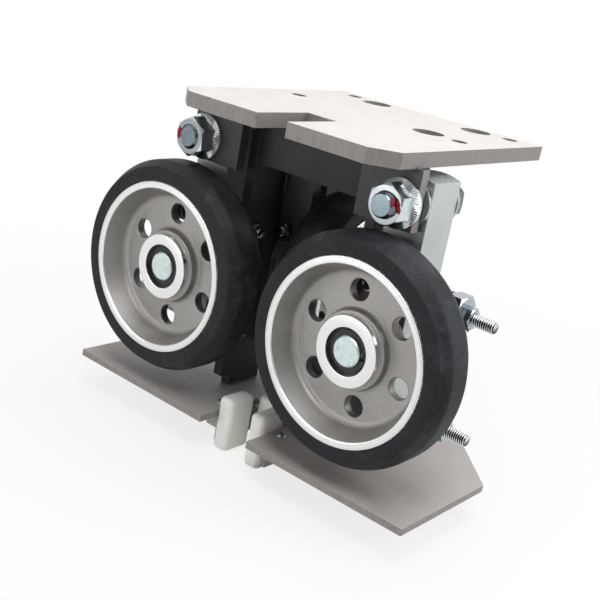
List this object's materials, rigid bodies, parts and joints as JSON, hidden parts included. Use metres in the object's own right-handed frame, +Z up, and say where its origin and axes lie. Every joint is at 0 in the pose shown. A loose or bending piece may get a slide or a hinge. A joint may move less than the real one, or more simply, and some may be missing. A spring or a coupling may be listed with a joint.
{
  "type": "elevator guide shoe",
  "caption": "Roller guide shoe for a lift car: sprung levers carry rubber-tyred rollers under a notched base plate, with nylon emergency pads in a guard plate.",
  "frame": {"origin": "centre of the base plate's top face, which bolts under the car frame", "axes": "+Z up along the guide rail, the rail enters from the front at -Y, +X to the right seen from the front"},
  "size_m": [0.317, 0.1955, 0.243],
  "materials": {
    "plate_steel": "laser-cut, shot-blasted steel, warm grey and matte",
    "lever_steel": "pale zinc-plated square bar, satin",
    "zinc_hardware": "bright zinc-plated fasteners",
    "spring_steel": "black phosphated spring wire",
    "bronze": "sintered bronze bush",
    "cast_wheel": "blasted aluminium casting with turned rim ring and hub face",
    "tyre_rubber": "matt black rubber, bonded to the rim",
    "bearing_steel": "ball bearing races with dark seals",
    "nylon": "ivory nylon"
  },
  "bodies": {
    "frame": {"base_plate": "plate_steel", "left_ear": "plate_steel", "right_ear": "plate_steel", "rear_ear": "plate_steel", "left_side_plate": "plate_steel", "right_side_plate": "plate_steel", "cross_plate": "plate_steel", "rear_stud_plate": "plate_steel", "guard_plate": "plate_steel", "pad_bracket": "plate_steel", "left_pad": "nylon", "right_pad": "nylon", "nose_pad": "nylon", "pad_screws": "zinc_hardware", "guard_screws": "zinc_hardware", "pivot_washers": "zinc_hardware", "stud_nuts": "zinc_hardware", "jam_nuts": "zinc_hardware", "spring_nuts": "zinc_hardware", "stop_collars": "zinc_hardware", "left_pivot_bolt": "zinc_hardware", "left_pivot_nut": "zinc_hardware", "left_spring_stud": "zinc_hardware", "left_stop_stud": "zinc_hardware", "left_spring": "spring_steel", "right_pivot_bolt": "zinc_hardware", "right_pivot_nut": "zinc_hardware", "right_spring_stud": "zinc_hardware", "right_stop_stud": "zinc_hardware", "right_spring": "spring_steel", "rear_pivot_bolt": "zinc_hardware", "rear_pivot_nut": "zinc_hardware", "rear_spring_stud": "zinc_hardware", "rear_stop_stud": "zinc_hardware", "rear_spring": "spring_steel"},
    "left_arm": {"left_lever": "lever_steel", "left_bush": "bronze", "left_axle": "zinc_hardware", "left_axle_nut": "zinc_hardware", "left_ring": "spring_steel"},
    "left_roller": {"left_wheel": "cast_wheel", "left_tyre": "tyre_rubber", "left_bearings": "bearing_steel"},
    "right_arm": {"right_lever": "lever_steel", "right_bush": "bronze", "right_axle": "zinc_hardware", "right_axle_nut": "zinc_hardware", "right_ring": "spring_steel"},
    "right_roller": {"right_wheel": "cast_wheel", "right_tyre": "tyre_rubber", "right_bearings": "bearing_steel"},
    "rear_arm": {"rear_lever": "lever_steel", "rear_bush": "bronze", "rear_axle": "zinc_hardware", "rear_axle_nut": "zinc_hardware", "rear_ring": "spring_steel"},
    "rear_roller": {"rear_wheel": "cast_wheel", "rear_tyre": "tyre_rubber", "rear_bearings": "bearing_steel"}
  },
  "joints": [
    {"name": "left_swing", "type": "hinge", "parent": "frame", "child": "left_arm", "pos_m": [-0.0835, -0.037, -0.033], "axis": [0, 1, 0], "range_deg": [0, 3], "stiffness_Nm_per_rad": 300, "springref_deg": -1.43, "deforming": ["left_spring"]},
    {"name": "left_spin", "type": "hinge", "parent": "left_arm", "child": "left_roller", "pos_m": [-0.0835, -0.078, -0.126], "axis": [0, 1, 0], "continuous": true},
    {"name": "right_swing", "type": "hinge", "parent": "frame", "child": "right_arm", "pos_m": [0.0835, -0.037, -0.033], "axis": [0, -1, 0], "range_deg": [0, 3], "stiffness_Nm_per_rad": 300, "springref_deg": -1.43, "deforming": ["right_spring"]},
    {"name": "right_spin", "type": "hinge", "parent": "right_arm", "child": "right_roller", "pos_m": [0.0835, -0.078, -0.126], "axis": [0, 1, 0], "continuous": true},
    {"name": "rear_swing", "type": "hinge", "parent": "frame", "child": "rear_arm", "pos_m": [-0.041, 0.0255, -0.033], "axis": [1, 0, 0], "range_deg": [0, 3], "stiffness_Nm_per_rad": 300, "springref_deg": -1.43, "deforming": ["rear_spring"]},
    {"name": "rear_spin", "type": "hinge", "parent": "rear_arm", "child": "rear_roller", "pos_m": [0, 0.0255, -0.126], "axis": [1, 0, 0], "continuous": true}
  ]
}
